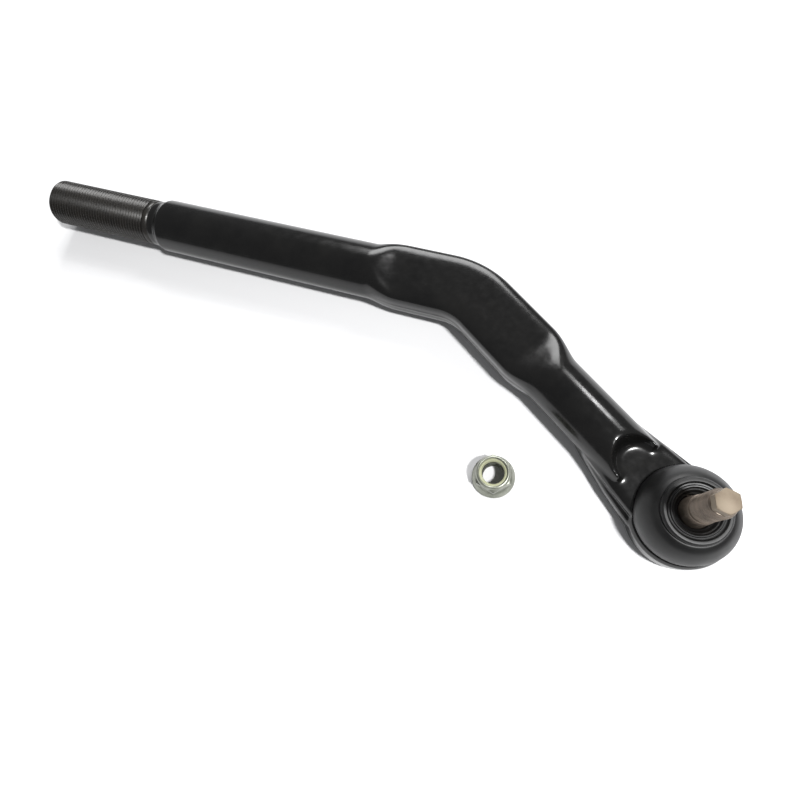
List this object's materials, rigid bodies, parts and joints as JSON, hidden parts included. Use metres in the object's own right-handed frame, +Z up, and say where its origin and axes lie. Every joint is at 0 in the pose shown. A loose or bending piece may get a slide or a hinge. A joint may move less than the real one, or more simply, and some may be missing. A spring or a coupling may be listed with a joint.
{
  "type": "tie rod end",
  "caption": "Bent steering tie rod end: forged arm with a threaded shank, a booted swivelling ball stud with a hex tip, and a loose flange lock nut",
  "frame": {"origin": "Centre of the outer face of the socket's flat bottom cover. The surface the part lies on is 0.15 mm below it, under the crimped lip", "axes": "+Z up along the ball stud, -X along the shank towards its threaded end, the bend in the XY plane"},
  "size_m": [0.4261, 0.1257, 0.0717],
  "materials": {
    "forged_arm": "glossy black electrocoat over forged steel",
    "end_cover": "black coated pressed steel",
    "cover_seal": "matt",
    "preload_spring": "spring steel",
    "lower_seat": "natural acetal",
    "upper_bearing": "natural acetal",
    "boot_base_ring": "pressed steel",
    "boot": "satin black rubber",
    "boot_collar": "satin black rubber",
    "collar_ring": "spring steel",
    "ball_stud": "oiled machined steel with a brown cast",
    "flange_nut": "grey-green zinc plate",
    "nylon_insert": "pale yellow-green nylon"
  },
  "bodies": {
    "housing": {"forged_arm": "forged_arm", "end_cover": "end_cover", "cover_seal": "cover_seal", "preload_spring": "preload_spring", "lower_seat": "lower_seat", "upper_bearing": "upper_bearing", "boot_base_ring": "boot_base_ring"},
    "boot_swing": {"boot": "boot"},
    "collar_swing": {"boot_collar": "boot_collar", "collar_ring": "collar_ring"},
    "stud": {"ball_stud": "ball_stud"},
    "nut": {"flange_nut": "flange_nut", "nylon_insert": "nylon_insert"}
  },
  "joints": [
    {"name": "stud_swing_x", "type": "hinge", "parent": "housing", "child": "boot_swing", "pos_m": [0, 0, 0.0145], "axis": [1, 0, 0], "range_deg": [-18, 18], "deforming": ["boot"]},
    {"name": "stud_swing_y", "type": "hinge", "parent": "boot_swing", "child": "collar_swing", "pos_m": [0, 0, 0.0145], "axis": [0, 1, 0], "range_deg": [-18, 18], "deforming": ["boot"]},
    {"name": "stud_spin", "type": "hinge", "parent": "collar_swing", "child": "stud", "pos_m": [0, 0, 0.0145], "axis": [0, 0, 1], "continuous": true},
    {"name": "nut_lift", "type": "slide", "parent": "housing", "child": "nut", "axis": [0, 0, 1], "range_m": [0, 0.08]}
  ]
}
